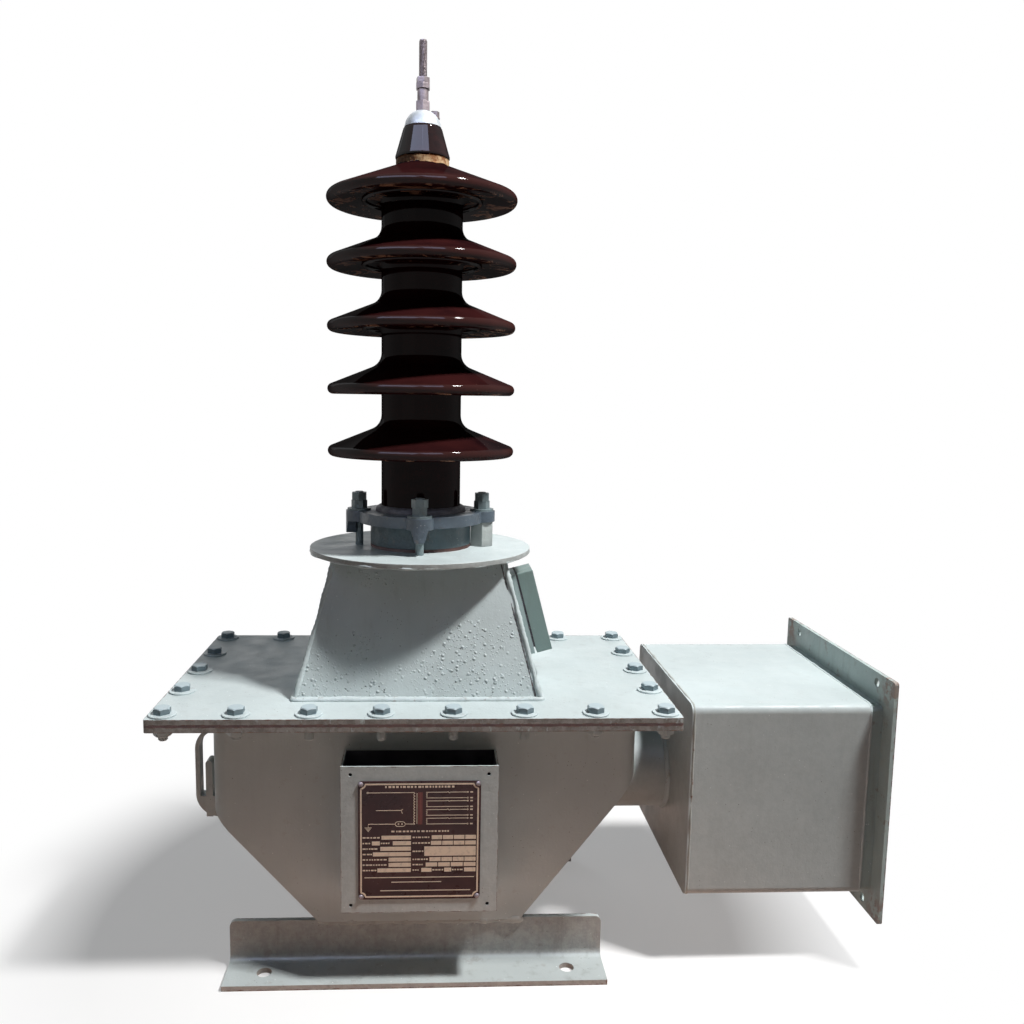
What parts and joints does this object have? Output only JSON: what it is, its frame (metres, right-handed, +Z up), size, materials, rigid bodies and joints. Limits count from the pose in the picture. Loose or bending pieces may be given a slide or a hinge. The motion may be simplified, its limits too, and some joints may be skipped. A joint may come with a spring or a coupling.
{
  "type": "outdoor voltage transformer",
  "caption": "Oil-filled outdoor voltage transformer: welded tank on base angles, sloping turret, shedded porcelain bushing with stud terminal, side terminal box.",
  "frame": {"origin": "centre of the four foundation bolt holes, on the ground plane under the base angles", "axes": "+Z up along the porcelain bushing, +X towards the secondary terminal box, -Y towards the nameplate side"},
  "size_m": [0.687, 0.287, 0.888],
  "materials": {
    "paint": "semi-gloss light grey enamel over steel",
    "clamp_paint": "blue-grey enamel over cast metal",
    "porcelain": "dark brown gloss glaze",
    "cap_alloy": "satin",
    "zinc_steel": "dull zinc",
    "gasket_rubber": "matt",
    "gauge_glass": "clear",
    "plate_enamel": "gloss enamel plate",
    "board": "resin board"
  },
  "bodies": {
    "root": {"base_angle_front": "paint", "base_angle_rear": "paint", "tank_shell": "paint", "tank_floor": "paint", "tank_rim_flange": "paint", "cover_gasket": "gasket_rubber", "cover_plate": "paint", "turret_walls": "paint", "turret_top_plate": "paint", "gauge_base": "paint", "gauge_seal": "gasket_rubber", "gauge_glass": "gauge_glass", "gauge_cover": "paint", "bushing_seat_gasket": "gasket_rubber", "bushing_seat_ring": "clamp_paint", "clamp_gasket": "gasket_rubber", "clamp_ring": "clamp_paint", "clamp_stud_front": "clamp_paint", "clamp_stud_left": "clamp_paint", "clamp_stud_rear": "clamp_paint", "clamp_stud_right": "clamp_paint", "hex_spacer": "paint", "porcelain_insulator": "porcelain", "terminal_cap": "cap_alloy", "terminal_stud": "zinc_steel", "terminal_lower_nut": "zinc_steel", "terminal_sleeve": "zinc_steel", "terminal_upper_nut": "zinc_steel", "vent_screw": "zinc_steel", "lifting_lug_left": "paint", "lifting_lug_right": "paint", "nameplate_pan": "paint", "nameplate": "plate_enamel", "neck_pipe": "paint", "box_inner_plate": "paint", "box_walls": "paint", "box_flange": "paint", "terminal_board": "board", "terminal_board_bracket": "paint"}
  },
  "joints": []
}
